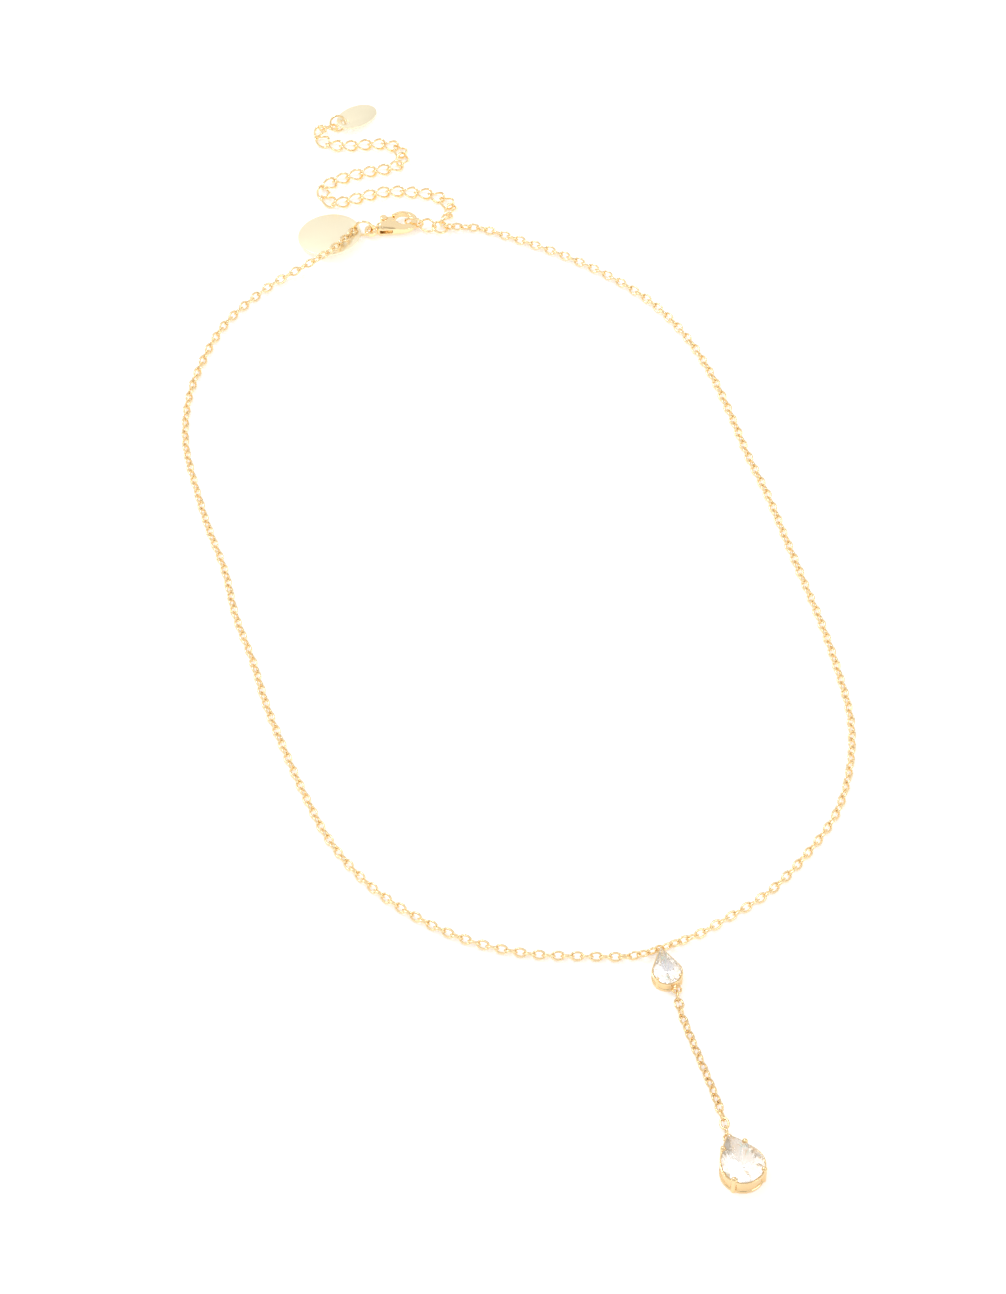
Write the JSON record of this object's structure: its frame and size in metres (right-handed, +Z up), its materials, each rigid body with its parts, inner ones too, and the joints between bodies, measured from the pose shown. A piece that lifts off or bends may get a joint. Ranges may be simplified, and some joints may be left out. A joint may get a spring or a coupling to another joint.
{
  "type": "y necklace",
  "caption": "Fine cable chain necklace lying flat and clasped, with a small pear stone, a chain drop and a larger pear stone, an extender chain and plain tags.",
  "frame": {"origin": "centre of the bounding box at its bottom, on the surface that the necklace lies on", "axes": "+Z up from the surface, +Y from the large pear drop towards the end tag, +X to the right as seen by the viewer at the drop's side"},
  "size_m": [0.1068, 0.2208, 0.0038],
  "materials": {
    "chain_gold": "polished",
    "polished_gold": "polished",
    "satin_gold": "satin",
    "clear_stone": "polished, faceted"
  },
  "bodies": {
    "necklace": {"chain_left": "chain_gold", "chain_right": "chain_gold", "drop_chain": "chain_gold", "extender_chain": "chain_gold", "hook_links": "chain_gold", "setting_small": "polished_gold", "stone_small": "clear_stone", "setting_large": "polished_gold", "stone_large": "clear_stone", "clasp_body": "polished_gold", "clasp_ring": "polished_gold", "end_ring": "polished_gold", "disc_tag": "satin_gold", "tag_ring": "polished_gold", "end_tag": "satin_gold"},
    "lever": {"clasp_lever": "polished_gold"}
  },
  "joints": [
    {"name": "lever_hinge", "type": "hinge", "parent": "necklace", "child": "lever", "pos_m": [-0.0214, 0.07922, 0.0011], "axis": [0, 0, 1], "range_deg": [-25, 0], "stiffness_Nm_per_rad": 0.0002}
  ]
}
